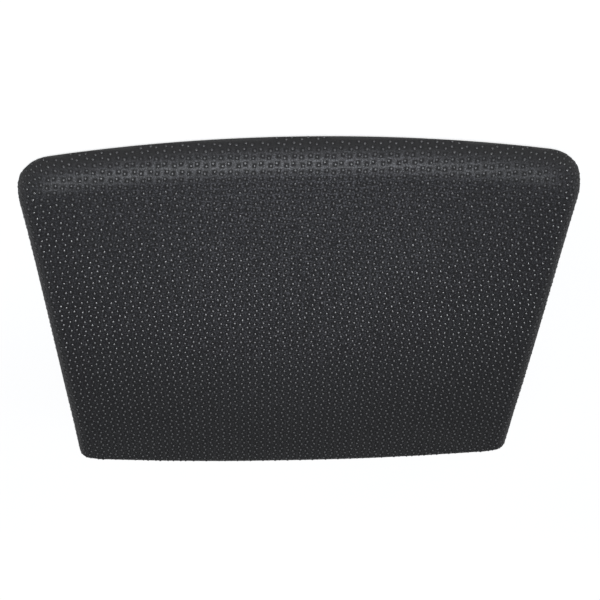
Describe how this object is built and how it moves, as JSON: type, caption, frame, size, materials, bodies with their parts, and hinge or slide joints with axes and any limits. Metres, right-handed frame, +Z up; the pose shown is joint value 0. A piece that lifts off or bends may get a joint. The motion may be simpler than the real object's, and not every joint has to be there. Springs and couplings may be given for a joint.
{
  "type": "chair armrest pad",
  "caption": "Wide padded arm pad with a crowned pin-dot skin, a rolled front edge and a flat bolt-on underside.",
  "frame": {"origin": "middle of the underside, on the plane of the raised bolting pad that the chair's arm bracket meets", "axes": "+Z up through the padded face, +X along the pad's width, -Y towards the rolled front edge"},
  "size_m": [0.2488, 0.219, 0.0275],
  "materials": {
    "pad_skin": "dark charcoal coated upholstery skin with a raised pin-dot grain, satin",
    "foam": "open-cell polyurethane foam",
    "board": "bare plywood",
    "zinc_steel": "zinc plated steel",
    "dark_screw": "black oxide steel",
    "cover": "fine grained black moulded polypropylene"
  },
  "bodies": {
    "root": {"pad_skin": "pad_skin", "foam_core": "foam", "base_board": "board", "tee_nuts": "zinc_steel", "hem_staples": "zinc_steel", "under_cover": "cover", "bolt_bushes": "zinc_steel", "cover_screws": "dark_screw"}
  },
  "joints": []
}
